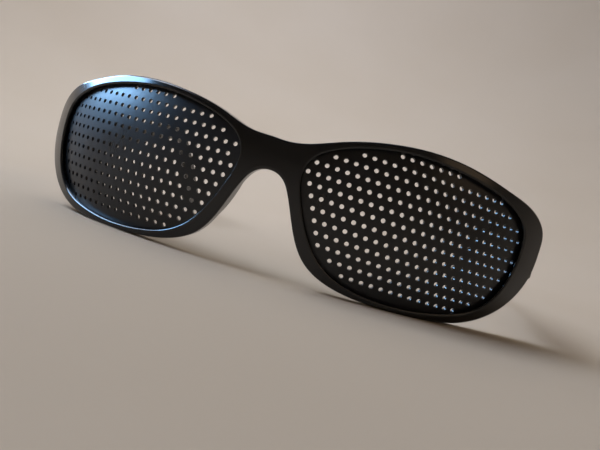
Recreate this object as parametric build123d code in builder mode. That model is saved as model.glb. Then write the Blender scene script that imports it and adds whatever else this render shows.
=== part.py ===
from build123d import *
from math import atan2, cos, degrees, floor, radians, sin, sqrt, tan
import os

os.makedirs("parts", exist_ok=True)

# Pinhole glasses, drawn as worn: X to the wearer's left, Y back along the temples, Z up
# The datum is the middle of the bridge, and the finished pieces are then stood on a table

# Front frame
half_width = 75.0
front_height = 42.4
wrap_radius_share = 0.96
wrap_span_share = 0.24
wrap_level_share = -0.26
rim_proud = 1.5
rim_depth = 4.0
front_cover = 6.0
front_edge_round = 0.7
window_edge_round = 0.5
back_edge_round = 0.35
same_place = 0.01

# Wearer's left half of the outline from the top of the bridge round to its underside,
# as shares of the half width and of the front's height
outline_shares = [
    (0.0, 0.132), (0.093, 0.142), (0.213, 0.210), (0.373, 0.274), (0.520, 0.292),
    (0.667, 0.263), (0.830, 0.184), (0.942, 0.100), (0.995, -0.014), (1.0, -0.142),
    (0.995, -0.262), (0.957, -0.444), (0.884, -0.590), (0.776, -0.685), (0.613, -0.711),
    (0.427, -0.694), (0.291, -0.648), (0.201, -0.562), (0.146, -0.431), (0.109, -0.283),
    (0.083, -0.179), (0.061, -0.116), (0.029, -0.075), (0.0, -0.066),
]

# The window on the same side, as shares of the same two sizes
window_shares = [
    (0.115, -0.024), (0.139, 0.075), (0.193, 0.142), (0.293, 0.203), (0.400, 0.236),
    (0.507, 0.241), (0.640, 0.212), (0.760, 0.158), (0.853, 0.078), (0.904, -0.019),
    (0.915, -0.142), (0.904, -0.307), (0.867, -0.476), (0.800, -0.590), (0.693, -0.649),
    (0.560, -0.670), (0.413, -0.649), (0.307, -0.594), (0.233, -0.500), (0.180, -0.368),
    (0.140, -0.217), (0.119, -0.106),
]

# Moulded nose pads, a rounded swelling on the back of both inner rims
pad_rear = 7.0
pad_top_share = -0.106
pad_bottom_share = -0.531
pad_reach_share = 0.227
pad_inset = 0.6
block_seat = 1.0

# Pinhole plates and the groove that holds them
plate_thickness = 0.8
plate_bite = 0.6
groove_clearance = 0.1
groove_play = 0.03

# Pinholes: staggered rows falling outwards, each hole square to the sheet
hole_radius = 0.6
hole_length = 4.0
hole_pitch = 2.755
row_pitch = 2.86
hole_edge_margin = 0.7
row_fall = 2.375
row_skew = 1.1
row_shift = 0.14
first_hole_left = (11.05, 2.34)
first_hole_right = (10.77, 1.34)

# Joint between the front and a temple
joint_setback = 1.4
joint_gap = 0.15
end_block_width = 5.8
end_block_depth = 12.0
end_block_margin = 0.4

# Hinge, a three-knuckle barrel between two metal leaves
hinge_inset = 5.4
hinge_setback = 0.3
knuckle_radius = 1.25
knuckle_height = 2.0
knuckle_gap = 0.1
swing_clearance = 0.35
leaf_thickness = 1.0
leaf_clearance = 0.05
front_leaf_length = 2.4
temple_leaf_length = 9.6
leaf_end_round = 1.2
anchor_radius = 0.7
anchor_depth = 1.5
anchor_pitch = 3.6

# Hinge screw
screw_radius = 0.6
screw_play = 0.04
screw_head_radius = 1.1
screw_head_height = 0.6
screw_slot_width = 0.3
screw_slot_depth = 0.25

# Temples
temple_length = 130.0
temple_edge_round = 0.9
root_thickness = 3.8
overrun = 20.0

# Side view of a temple from the joint round the tip and back,
# as shares of its length and of the front's height
temple_side_shares = [
    (0.0, -0.033), (0.23, -0.043), (0.44, -0.024), (0.58, 0.009), (0.68, 0.014),
    (0.75, -0.057), (0.82, -0.203), (0.92, -0.479), (0.96, -0.613), (0.995, -0.740),
    (0.985, -0.860), (0.945, -0.899), (0.910, -0.844), (0.865, -0.660), (0.825, -0.490),
    (0.760, -0.236), (0.715, -0.144), (0.660, -0.127), (0.600, -0.139), (0.500, -0.179),
    (0.346, -0.255), (0.160, -0.323), (0.0, -0.330),
]

# Plan of a temple behind its straight root: share of its length, outer face as a share
# of the half width, thickness as a share of the root's
temple_plan_shares = [
    (0.1, 1.0, 1.0), (0.25, 0.9995, 0.95), (0.48, 0.993, 0.87), (0.74, 0.981, 0.85),
    (1.02, 0.945, 0.87),
]

# Everything below is worked out from these sizes
wrap_radius = wrap_radius_share * half_width
wrap_half_span = wrap_span_share * half_width
wrap_level = wrap_level_share * front_height
front_radius = wrap_radius + rim_proud
back_radius = front_radius - rim_depth
joint_depth = wrap_radius - sqrt(front_radius ** 2 - (half_width - wrap_half_span) ** 2) + joint_setback
pad_top = pad_top_share * front_height
pad_bottom = pad_bottom_share * front_height
root_top = temple_side_shares[0][1] * front_height
root_bottom = temple_side_shares[-1][1] * front_height
hinge_level = (root_top + root_bottom) / 2
front_plane = Plane.XZ.offset(front_cover)
wrap_axis = Axis((0, wrap_radius, wrap_level), (1, 0, 0))
hinge_x = half_width - hinge_inset
hinge_y = joint_depth + hinge_setback
hinge_height = 3 * knuckle_height + 2 * knuckle_gap
hinge_bottom = hinge_level - hinge_height / 2
hinge_top = hinge_level + hinge_height / 2
swing_radius = knuckle_radius + swing_clearance
temple_start = joint_depth + joint_gap
leaf_outer = half_width - root_thickness
leaf_inner = leaf_outer - leaf_thickness
leaf_start = hinge_y + swing_radius
leaf_end = leaf_start + temple_leaf_length
middle_bottom = hinge_level - knuckle_height / 2
middle_top = hinge_level + knuckle_height / 2


def front_point(shares):
    """Place a point of the front view from its two shares."""
    return (shares[0] * half_width, shares[1] * front_height)


def closed_face(points, growth):
    """Face inside a smooth closed curve, grown or shrunk evenly all round."""
    if growth:
        loop = Edge.make_spline([Vector(*point) for point in points], periodic=True)
        steps = [step / (2 * len(points)) for step in range(2 * len(points))]
        points = [loop @ step + Vector(-(loop % step).Y, (loop % step).X) * growth for step in steps]
    with BuildSketch(front_plane) as sketch:
        with BuildLine():
            Spline(*points, periodic=True)
        make_face()
    return sketch.sketch


def outline_face(growth=0):
    """Outline of the whole front, the wearer's right half mirrored from the left."""
    left = [front_point(pair) for pair in outline_shares]
    right = [(-x, z) for x, z in reversed(left[1:-1])]
    return closed_face(left + right, growth)


def window_face(growth=0):
    """Window on the wearer's left."""
    return closed_face([front_point(pair) for pair in window_shares], growth)


def through(face):
    """Prism on one face of the front view, through the whole depth of the front."""
    with BuildPart() as prism:
        extrude(face, amount=-(front_cover + joint_depth + overrun))
    return prism.part


def roller(radius):
    """Round-ended roller whose skin is the wrap of the glasses at that radius."""
    with BuildPart() as body:
        with BuildSketch(Plane.XY.offset(wrap_level).shift_origin((0, wrap_radius, wrap_level))):
            with BuildLine():
                Line((-wrap_half_span - radius, 0), (wrap_half_span + radius, 0))
                CenterArc((wrap_half_span, 0), radius, 0, 90)
                Line((wrap_half_span, radius), (-wrap_half_span, radius))
                CenterArc((-wrap_half_span, 0), radius, 90, 90)
            make_face()
        revolve(axis=wrap_axis)
    return body.part


def skin(outer, inner):
    """Curved sheet between two radii of the wrap."""
    with BuildPart() as sheet:
        add(roller(outer))
        add(roller(inner), mode=Mode.SUBTRACT)
    return sheet.part


def box_between(low, high):
    """Box between two opposite corners."""
    with BuildPart() as box:
        with Locations((Vector(*low) + Vector(*high)) / 2):
            Box(*(Vector(*high) - Vector(*low)))
    return box.part


def upright(radius, bottom, top):
    """Cylinder on the hinge axis between two levels."""
    with BuildPart() as post:
        with Locations((hinge_x, hinge_y, bottom)):
            Cylinder(radius, top - bottom, align=(Align.CENTER, Align.CENTER, Align.MIN))
    return post.part


def anchors(radius, depth):
    """Pair of studs that stand outwards from the temple's leaf."""
    middle = (leaf_start + leaf_end) / 2
    with BuildPart() as studs:
        with BuildSketch(Plane.YZ.offset(leaf_outer)):
            with Locations((middle, hinge_level)):
                with GridLocations(anchor_pitch, anchor_pitch, 2, 1):
                    Circle(radius)
        extrude(amount=depth)
    return studs.part


def skin_edges(part, radius):
    """Edges along the wrap at one radius, without the joins of its round ends."""
    def on_skin(edge):
        middle = edge @ 0.5
        beyond = abs(middle.X) - wrap_half_span
        reach = Vector(max(beyond, 0), middle.Y - wrap_radius, middle.Z - wrap_level)
        return abs(reach.length - radius) < same_place and abs(beyond) > same_place
    return part.edges().filter_by(on_skin)


def round_window(builder, radius, amount):
    """Round the edges of both windows on the skin of one radius."""
    zone = window_face(same_place).face()
    def at_window(edge):
        middle = edge @ 0.5
        return zone.is_inside(Vector(abs(middle.X), -front_cover, middle.Z))
    fillet(skin_edges(builder.part, radius).filter_by(at_window), amount)


# Front as a solid block, then what stands behind the rims: nose pads and end pieces
window_prism = through(window_face())
with BuildPart() as solid_front:
    add(through(outline_face()))
    add(roller(front_radius), mode=Mode.INTERSECT)
    split(bisect_by=Plane.XZ.offset(-joint_depth), keep=Keep.TOP)
    fillet(skin_edges(solid_front.part, front_radius), front_edge_round)
    add(window_prism, mode=Mode.SUBTRACT)
    mirror(window_prism, about=Plane.YZ, mode=Mode.SUBTRACT)
    round_window(solid_front, front_radius, window_edge_round)

with BuildPart() as nose_pads:
    with BuildSketch(Plane.YZ):
        with BuildLine():
            ThreePointArc((0, pad_top), (pad_rear, (pad_top + pad_bottom) / 2), (0, pad_bottom))
            Line((0, pad_bottom), (0, pad_top))
        make_face()
    extrude(amount=pad_reach_share * half_width, both=True)
    add(roller(back_radius + block_seat), mode=Mode.INTERSECT)
    add(through(outline_face(-pad_inset)), mode=Mode.INTERSECT)
    pad_window = through(window_face(pad_inset))
    add(pad_window, mode=Mode.SUBTRACT)
    mirror(pad_window, about=Plane.YZ, mode=Mode.SUBTRACT)

with BuildPart() as end_pieces:
    end_block = box_between(
        (half_width - end_block_width, joint_depth - end_block_depth, root_bottom - end_block_margin),
        (half_width, joint_depth, root_top + end_block_margin),
    )
    add(end_block)
    mirror(end_block, about=Plane.YZ)
    add(roller(back_radius + block_seat), mode=Mode.INTERSECT)

with BuildPart() as groove:
    add(skin(wrap_radius + groove_play, wrap_radius - plate_thickness - groove_play))
    add(through(window_face(plate_bite + groove_clearance)), mode=Mode.INTERSECT)

with BuildPart() as hinge_room:
    add(upright(
        swing_radius,
        hinge_bottom - swing_clearance,
        hinge_top + screw_head_height + swing_clearance,
    ))
    add(box_between(
        (leaf_inner - leaf_clearance, hinge_y - swing_radius - front_leaf_length,
         hinge_bottom - leaf_clearance),
        (leaf_outer + leaf_clearance, hinge_y, hinge_top + leaf_clearance),
    ))

with BuildPart() as front_frame:
    add(solid_front.part)
    add(roller(back_radius), mode=Mode.SUBTRACT)
    fillet(skin_edges(front_frame.part, back_radius), back_edge_round)
    add(nose_pads.part)
    add(end_pieces.part)
    for cut in (groove.part, hinge_room.part):
        add(cut, mode=Mode.SUBTRACT)
        mirror(cut, about=Plane.YZ, mode=Mode.SUBTRACT)


def hole_locations(first_hole, fall):
    """Stations of one plate's pinholes: staggered rows, each square to the sheet."""
    inside = window_face(-hole_edge_margin).face()
    start, level = first_hole
    slope = tan(radians(fall))
    columns = floor(half_width / hole_pitch)
    rows = floor(front_height / row_pitch)
    stations = []
    for row in range(-rows, rows):
        for column in range(-columns, columns):
            along = start + (column + row % 2 / 2) * hole_pitch + row * row_shift
            height = level + row * row_pitch - slope * (along - start)
            turn = max(along - wrap_half_span, 0) / wrap_radius
            rise = (height - wrap_level) / wrap_radius
            out = Vector(cos(rise) * sin(turn), -cos(rise) * cos(turn), sin(rise))
            core = Vector(min(along, wrap_half_span), wrap_radius, wrap_level)
            point = core + out * wrap_radius
            if along > 0 and inside.is_inside(Vector(point.X, -front_cover, point.Z)):
                stations.append(Location(Plane(origin=point, z_dir=out)))
    return stations


def pierced_plate(first_hole, fall):
    """Curved plate of the wearer's left window with its pinholes."""
    with BuildPart() as plate:
        add(skin(wrap_radius, wrap_radius - plate_thickness))
        add(through(window_face(plate_bite)), mode=Mode.INTERSECT)
        with Locations(*hole_locations(first_hole, fall)):
            Cylinder(hole_radius, hole_length, mode=Mode.SUBTRACT)
    return plate.part


with BuildPart() as pinhole_plate_left:
    add(pierced_plate(first_hole_left, row_fall + row_skew))

with BuildPart() as pinhole_plate_right:
    mirror(pierced_plate(first_hole_right, row_fall - row_skew), about=Plane.YZ)

# Hinge on the wearer's left: two knuckles and a tongue sunk in the end piece
bore = upright(screw_radius + screw_play, hinge_bottom - overrun, hinge_top + overrun)
with BuildPart() as front_hinge_leaf_left:
    add(box_between(
        (leaf_inner, hinge_y - swing_radius - front_leaf_length + leaf_clearance, hinge_bottom),
        (leaf_outer, hinge_y, hinge_top),
    ))
    add(upright(swing_radius, middle_bottom - knuckle_gap, middle_top + knuckle_gap), mode=Mode.SUBTRACT)
    add(upright(knuckle_radius, hinge_bottom, middle_bottom - knuckle_gap))
    add(upright(knuckle_radius, middle_top + knuckle_gap, hinge_top))
    add(bore, mode=Mode.SUBTRACT)

# The third knuckle, its neck and a leaf on the temple's inner face
with BuildPart() as temple_hinge_leaf_left:
    add(box_between((leaf_inner, leaf_start, hinge_bottom), (leaf_outer, leaf_end, hinge_top)))
    far_edges = temple_hinge_leaf_left.edges().filter_by(Axis.X).group_by(Axis.Y)[-1]
    fillet(far_edges, leaf_end_round)
    add(box_between((leaf_inner, hinge_y, middle_bottom), (leaf_outer, leaf_start, middle_top)))
    add(upright(knuckle_radius, middle_bottom, middle_top))
    add(anchors(anchor_radius, anchor_depth))
    add(bore, mode=Mode.SUBTRACT)

with BuildPart() as hinge_screw_left:
    add(upright(screw_radius, hinge_bottom, hinge_top))
    add(upright(screw_head_radius, hinge_top, hinge_top + screw_head_height))
    with Locations((hinge_x, hinge_y, hinge_top + screw_head_height)):
        Box(2 * screw_head_radius, screw_slot_width, 2 * screw_slot_depth, mode=Mode.SUBTRACT)

with BuildPart() as front_hinge_leaf_right:
    mirror(front_hinge_leaf_left.part, about=Plane.YZ)

with BuildPart() as temple_hinge_leaf_right:
    mirror(temple_hinge_leaf_left.part, about=Plane.YZ)

with BuildPart() as hinge_screw_right:
    mirror(hinge_screw_left.part, about=Plane.YZ)

# Temples: the side view carried across the plan
outer_face = [
    Vector(face * half_width, temple_start + along * temple_length)
    for along, face, depth in temple_plan_shares
]
inner_face = [
    point - Vector(depth * root_thickness, 0)
    for point, (along, face, depth) in zip(outer_face, temple_plan_shares)
]
with BuildPart() as temple_left:
    with BuildSketch(Plane.YZ):
        with BuildLine():
            side = Spline(*[
                (temple_start + along * temple_length, level * front_height)
                for along, level in temple_side_shares
            ])
            Line(side @ 1, side @ 0)
        make_face()
    extrude(amount=half_width + overrun)
    with BuildSketch(Plane.XY.offset(-front_height)):
        with BuildLine():
            Line((half_width, temple_start), outer_face[0])
            Spline(*outer_face, tangents=[(0, 1), outer_face[-1] - outer_face[-2]])
            Line(outer_face[-1], inner_face[-1])
            Spline(*inner_face, tangents=[(0, 1), inner_face[-1] - inner_face[-2]])
            Line(inner_face[0], (leaf_outer, temple_start))
            Line((leaf_outer, temple_start), (half_width, temple_start))
        make_face()
    extrude(amount=2 * front_height, mode=Mode.INTERSECT)
    long_edges = temple_left.edges().filter_by(lambda edge: edge.length > 2 * root_thickness)
    butt_edges = long_edges.filter_by(GeomType.LINE).filter_by(Axis.Z)
    fillet(long_edges - butt_edges, temple_edge_round)
    add(anchors(anchor_radius + leaf_clearance, anchor_depth + leaf_clearance), mode=Mode.SUBTRACT)

with BuildPart() as temple_right:
    mirror(temple_left.part, about=Plane.YZ)

pieces = {
    "front_frame": front_frame,
    "pinhole_plate_left": pinhole_plate_left,
    "pinhole_plate_right": pinhole_plate_right,
    "temple_left": temple_left,
    "temple_right": temple_right,
    "front_hinge_leaf_left": front_hinge_leaf_left,
    "front_hinge_leaf_right": front_hinge_leaf_right,
    "temple_hinge_leaf_left": temple_hinge_leaf_left,
    "temple_hinge_leaf_right": temple_hinge_leaf_right,
    "hinge_screw_left": hinge_screw_left,
    "hinge_screw_right": hinge_screw_right,
}


def lowest(builder, pitch):
    """Lowest level of a piece once the glasses are pitched about the X axis."""
    return builder.part.rotate(Axis.X, pitch).bounding_box().min.Z


# Stand the glasses on both lower rims and both temple tips, then centre them on the table
pitch = 0
for _ in range(4):
    step_up = lowest(front_frame, pitch) - lowest(temple_left, pitch)
    pitch += degrees(atan2(step_up, joint_depth + temple_length))

pitched = [piece.part.rotate(Axis.X, pitch) for piece in pieces.values()]
around = Compound(pitched).bounding_box()
to_table = Vector(-around.center().X, -around.center().Y, -around.min.Z)
for label, solid in zip(pieces, pitched):
    standing = solid.translate(to_table)
    standing.label = label
    export_step(standing, f"parts/{label}.step")
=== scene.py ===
# %% [markdown]
# # Pinhole glasses
#
# Black moulded glasses stand open on both lower rims and both temple tips. The solids, with
# every pinhole, come from the CAD model. This script gives them their finishes, sets
# them on a pale floor under soft light, and looks at them from the photograph's angle.
# All lengths are in metres: X runs to the wearer's left, Y back along the temples, Z up.

# %%
# Load the model
import math

import bpy
from mathutils import Matrix, Vector

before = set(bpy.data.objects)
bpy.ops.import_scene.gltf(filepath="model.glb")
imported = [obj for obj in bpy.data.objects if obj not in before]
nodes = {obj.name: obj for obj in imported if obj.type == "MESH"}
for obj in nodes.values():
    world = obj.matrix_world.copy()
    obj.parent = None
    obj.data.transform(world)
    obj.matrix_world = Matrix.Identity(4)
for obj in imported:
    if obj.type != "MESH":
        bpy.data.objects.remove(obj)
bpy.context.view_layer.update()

# %% [markdown]
# ## Small tools
#
# Colours are written as sRGB hex and turned into linear light in one place. Nodes are
# added by one function, and every pattern's size is given in millimetres on the object.

# %%
# Colour, node and pattern helpers
MM = 0.001


def linear(code):
    """Linear colour of an sRGB hex code."""
    shares = [int(code[i:i + 2], 16) / 255 for i in (1, 3, 5)]
    light = [s / 12.92 if s <= 0.04045 else ((s + 0.055) / 1.055) ** 2.4 for s in shares]
    return (*light, 1.0)


def add(tree, kind, inputs=None, **settings):
    """One node, with its settings and its input values or links."""
    node = tree.nodes.new(kind)
    for name, value in settings.items():
        setattr(node, name, value)
    for name, value in (inputs or {}).items():
        if isinstance(value, bpy.types.NodeSocket):
            tree.links.new(value, node.inputs[name])
        else:
            node.inputs[name].default_value = value
    return node


def new_material(name):
    """Empty material with its tree and the object's own coordinates."""
    material = bpy.data.materials.new(name)
    material.use_nodes = True
    tree = material.node_tree
    tree.nodes.clear()
    place = add(tree, "ShaderNodeTexCoord").outputs["Object"]
    return material, tree, place


def noise(tree, place, size_mm, detail=3.0, stretch=(1, 1, 1)):
    """Noise whose features are about size_mm across."""
    spot = add(tree, "ShaderNodeMapping", {"Vector": place, "Scale": stretch})
    return add(
        tree, "ShaderNodeTexNoise",
        {"Vector": spot.outputs[0], "Scale": 1 / (size_mm * MM), "Detail": detail},
    ).outputs["Fac"]


def ranged(tree, value, low, high, start=0.3, end=0.7):
    """Value carried from start..end to low..high."""
    return add(
        tree, "ShaderNodeMapRange",
        {"Value": value, "From Min": start, "From Max": end, "To Min": low, "To Max": high},
    ).outputs[0]


def blended(tree, amount, first, second):
    """Colour between two hex codes."""
    # The mix node's colour inputs are its sockets 6 and 7, and its colour output is 2
    mix = add(tree, "ShaderNodeMix", {0: amount}, data_type="RGBA")
    mix.inputs[6].default_value = linear(first)
    mix.inputs[7].default_value = linear(second)
    return mix.outputs[2]


def bump(tree, height, depth_mm, normal=None):
    """Surface relief of that depth."""
    inputs = {"Height": height, "Distance": depth_mm * MM, "Strength": 1.0}
    if normal is not None:
        inputs["Normal"] = normal
    return add(tree, "ShaderNodeBump", inputs).outputs[0]


def close(tree, **inputs):
    """Principled surface, joined to the output."""
    values = {name.replace("_", " "): value for name, value in inputs.items()}
    surface = add(tree, "ShaderNodeBsdfPrincipled", values)
    add(tree, "ShaderNodeOutputMaterial", {"Surface": surface.outputs[0]})


# %% [markdown]
# ## Finishes
#
# The frame and the temples are polished black plastic, so they show what is around them
# in small, slightly wavy reflections. Handling has left faint smears and hairlines that
# only change how sharp the reflections are. Real hairlines and mould grain are finer than
# the sizes below. They are drawn coarser, so that they show at all.

# %%
# Polished black plastic
SMEAR_MM = 14
HAIRLINE_MM = 0.35
MOULD_GRAIN_MM = 0.12
WAVE_DEPTH_MM = 0.02
MOULD_GRAIN_DEPTH_MM = 0.0012
ABS_IOR = 1.5


def polished_plastic(name, dark, light, gloss, dull, wave_mm):
    """Moulded black plastic: mould waviness, smears and fine hairlines."""
    material, tree, place = new_material(name)
    smears = noise(tree, place, SMEAR_MM, 4)
    hairlines = noise(tree, place, HAIRLINE_MM, 2, (1, 0.06, 1))
    grain = noise(tree, place, MOULD_GRAIN_MM, 2)
    sheen = ranged(tree, smears, gloss, dull)
    roughness = add(
        tree, "ShaderNodeMath",
        {0: sheen, 1: ranged(tree, hairlines, 0, 0.05, 0.55, 0.75)}, operation="ADD",
    ).outputs[0]
    waves = bump(tree, noise(tree, place, wave_mm, 1), WAVE_DEPTH_MM)
    relief = bump(tree, grain, MOULD_GRAIN_DEPTH_MM, waves)
    close(
        tree, Base_Color=blended(tree, ranged(tree, smears, 0, 1), dark, light),
        Roughness=roughness, IOR=ABS_IOR, Normal=relief,
    )
    return material


frame_plastic = polished_plastic(
    "Polished black ABS", "#0d0e10", "#131417", gloss=0.1, dull=0.18, wave_mm=7,
)
temple_plastic = polished_plastic(
    "Polished black temple plastic", "#0b0c0d", "#111114", gloss=0.14, dull=0.24, wave_mm=9,
)
print(frame_plastic.name, "and", temple_plastic.name)

# %% [markdown]
# The plates are thin black sheet with a satin gloss, so bright surroundings show on it as
# broad, soft patches. Faint clouds and scuffs vary its sheen. They and the grain are drawn
# coarser than real ones.

# %%
# Satin black sheet
CLOUD_MM = 18
SCUFF_MM = 0.5
SHEET_GRAIN_MM = 0.08
CLOUD_DEPTH_MM = 0.03
SHEET_GRAIN_DEPTH_MM = 0.0015
SHEET_IOR = 1.49


def sheet_plastic():
    """Thin black sheet with a soft, even gloss."""
    material, tree, place = new_material("Satin black pinhole sheet")
    clouds = noise(tree, place, CLOUD_MM, 3)
    scuffs = noise(tree, place, SCUFF_MM, 3, (1, 1, 0.08))
    grain = noise(tree, place, SHEET_GRAIN_MM, 2)
    roughness = add(
        tree, "ShaderNodeMath",
        {0: ranged(tree, clouds, 0.26, 0.36), 1: ranged(tree, scuffs, 0, 0.06, 0.5, 0.8)},
        operation="ADD",
    ).outputs[0]
    close(
        tree, Base_Color=blended(tree, ranged(tree, clouds, 0, 1), "#0a0b0f", "#0f1116"),
        Roughness=roughness, IOR=SHEET_IOR,
        Normal=bump(
            tree, grain, SHEET_GRAIN_DEPTH_MM, bump(tree, clouds, CLOUD_DEPTH_MM),
        ),
    )
    return material


plate_sheet = sheet_plastic()
print(plate_sheet.name)

# %% [markdown]
# The hinges are plated steel: the leaves are stamped and brushed along their length, the
# screws are turned. The marks are drawn coarser than real ones, so that they show.

# %%
# Hinge metal
BRUSH_LINE_MM = 0.12
STAIN_MM = 2.5
BRUSH_DEPTH_MM = 0.002


def plated_steel(name, light, dark, roughness, stretch):
    """Plated steel with brushing lines along one direction."""
    material, tree, place = new_material(name)
    lines = noise(tree, place, BRUSH_LINE_MM, 4, stretch)
    stains = noise(tree, place, STAIN_MM, 3)
    close(
        tree, Base_Color=blended(tree, ranged(tree, stains, 0, 1), light, dark),
        Metallic=1.0, Roughness=ranged(tree, lines, roughness - 0.08, roughness + 0.1),
        Normal=bump(tree, lines, BRUSH_DEPTH_MM),
    )
    return material


leaf_steel = plated_steel("Brushed plated hinge steel", "#c9c6c0", "#a9a59d", 0.32, (1, 0.08, 1))
screw_steel = plated_steel("Turned screw steel", "#d2cfc9", "#b4b0a8", 0.24, (1, 1, 0.2))

# %%
# Give every piece its finish
finishes = {
    "front_frame": frame_plastic,
    "temple_left": temple_plastic,
    "temple_right": temple_plastic,
    "pinhole_plate_left": plate_sheet,
    "pinhole_plate_right": plate_sheet,
    "front_hinge_leaf_left": leaf_steel,
    "front_hinge_leaf_right": leaf_steel,
    "temple_hinge_leaf_left": leaf_steel,
    "temple_hinge_leaf_right": leaf_steel,
    "hinge_screw_left": screw_steel,
    "hinge_screw_right": screw_steel,
}
for name, material in finishes.items():
    nodes[name].data.materials.clear()
    nodes[name].data.materials.append(material)
print(len(finishes), "pieces finished")

# %% [markdown]
# ## Stage
#
# The floor curves up into a backdrop, so that no horizon shows. It is a matt, pale,
# slightly warm surface.

# %%
# Floor that curves up into the backdrop
FLOOR_RADIUS = 0.16
CURVE_RADIUS = 0.7
WALL_TOP = 1.1
SIDES = 96
CURVE_STEPS = 12
QUARTER_TURN = 90
FLOOR_TONE_MM = 160

profile = [(0.0, 0.0), (FLOOR_RADIUS, 0.0)]
for step in range(1, CURVE_STEPS + 1):
    angle = math.radians(QUARTER_TURN * step / CURVE_STEPS)
    profile.append((
        FLOOR_RADIUS + CURVE_RADIUS * math.sin(angle), CURVE_RADIUS * (1 - math.cos(angle)),
    ))
profile.append((FLOOR_RADIUS + CURVE_RADIUS, WALL_TOP))

points = [(0, 0, 0)]
faces = []
for radius, level in profile[1:]:
    for side in range(SIDES):
        angle = math.tau * side / SIDES
        points.append((radius * math.cos(angle), radius * math.sin(angle), level))
for side in range(SIDES):
    following = (side + 1) % SIDES
    faces.append((0, 1 + side, 1 + following))
    for ring in range(len(profile) - 2):
        low = 1 + ring * SIDES
        faces.append((low + side, low + SIDES + side, low + SIDES + following, low + following))

floor_mesh = bpy.data.meshes.new("Floor and backdrop")
floor_mesh.from_pydata(points, [], faces)
floor_mesh.shade_smooth()
floor = bpy.data.objects.new("Floor and backdrop", floor_mesh)
bpy.context.scene.collection.objects.link(floor)

material, tree, place = new_material("Pale matt floor")
close(
    tree,
    Base_Color=blended(tree, noise(tree, place, FLOOR_TONE_MM, 2), "#cfc4b5", "#c6b9a7"),
    Roughness=1.0, Specular_IOR_Level=0.0,
)
floor_mesh.materials.append(material)

# %% [markdown]
# ## Light
#
# The main light is a soft lamp at the upper left. The backdrop has a wash of its own, a
# lamp above and behind lights matt surfaces and stays out of reflections, and a weak warm
# lamp fills in from the right. Black plastic shows little but reflections, so a low, broad,
# blue card stands where the plate on the left mirrors it. The card shows in gloss only and
# lays no light on matt surfaces.

# %%
# Lamps and surroundings
def lamp(name, place, target, size, power, colour, spread=180):
    """Rectangular area lamp that faces its target, its beam spread in degrees."""
    data = bpy.data.lights.new(name, "AREA")
    data.shape = "RECTANGLE"
    data.size, data.size_y = size
    data.energy = power
    data.color = linear(colour)[:3]
    data.spread = math.radians(spread)
    lamp_object = bpy.data.objects.new(name, data)
    lamp_object.location = place
    aim = Vector(target) - Vector(place)
    lamp_object.rotation_euler = aim.to_track_quat("-Z", "Y").to_euler()
    bpy.context.scene.collection.objects.link(lamp_object)
    return lamp_object


BASE_CENTRE = (0, 0, 0.02)
LEFT_PLATE = (-0.05, -0.06, 0.02)
REAR_BACKDROP = (-0.15, 0.75, 0.25)
ROOM_LIGHT = 0.08

lamp(
    "Main light", (-0.5, -0.1, 0.6), BASE_CENTRE,
    size=(0.4, 0.4), power=1.35, colour="#e2ecff", spread=100,
)
lamp(
    "Right fill", (0.6, -0.3, 0.5), BASE_CENTRE,
    size=(0.5, 0.5), power=0.15, colour="#ffd9b0", spread=100,
)
overhead = lamp(
    "Overhead", (-0.3, 0.3, 0.7), BASE_CENTRE,
    size=(0.6, 0.6), power=0.6, colour="#fff8ee", spread=110,
)
lamp(
    "Backdrop wash", (-0.2, 0.2, 0.75), REAR_BACKDROP,
    size=(0.6, 0.3), power=2.6, colour="#ebf0ff", spread=140,
)
card = lamp(
    "Blue card", (-0.6, 0.02, 0.2), LEFT_PLATE,
    size=(0.65, 0.42), power=27.0, colour="#94c8fc",
)
card.visible_diffuse = False
overhead.visible_glossy = False

world = bpy.data.worlds.new("Room")
bpy.context.scene.world = world
world.use_nodes = True
world.node_tree.nodes.clear()
surroundings = add(
    world.node_tree, "ShaderNodeBackground",
    {"Color": linear("#e6e6e8"), "Strength": ROOM_LIGHT},
)
add(world.node_tree, "ShaderNodeOutputWorld", {"Surface": surroundings.outputs[0]})

# %% [markdown]
# ## Camera
#
# The viewing point and direction come from a camera fitted to the photograph: close to
# the glasses, a little to the wearer's left, and rolled by about sixteen degrees.

# %%
# Camera at the photograph's viewing angle
VIEW_POINT = Vector((0.03307, -0.23062, 0.02423))
SIGHT = Vector((-0.14078, 0.98844, -0.05633))
UPWARD = Vector((-0.27743, 0.01522, 0.96063))
LENS_MM = 36.4
SENSOR_MM = 36
NEAREST_SEEN = 0.01

across = SIGHT.cross(UPWARD).normalized()
upright = across.cross(SIGHT).normalized()
turn = Matrix((across, upright, -SIGHT.normalized())).transposed().to_4x4()
camera_data = bpy.data.cameras.new("Photograph view")
camera_data.lens = LENS_MM
camera_data.sensor_width = SENSOR_MM
camera_data.clip_start = NEAREST_SEEN
camera = bpy.data.objects.new("Photograph view", camera_data)
camera.matrix_world = Matrix.Translation(VIEW_POINT) @ turn
bpy.context.scene.collection.objects.link(camera)
bpy.context.scene.camera = camera
bpy.context.scene.view_settings.view_transform = "Standard"
print("camera at", [round(value, 4) for value in VIEW_POINT])
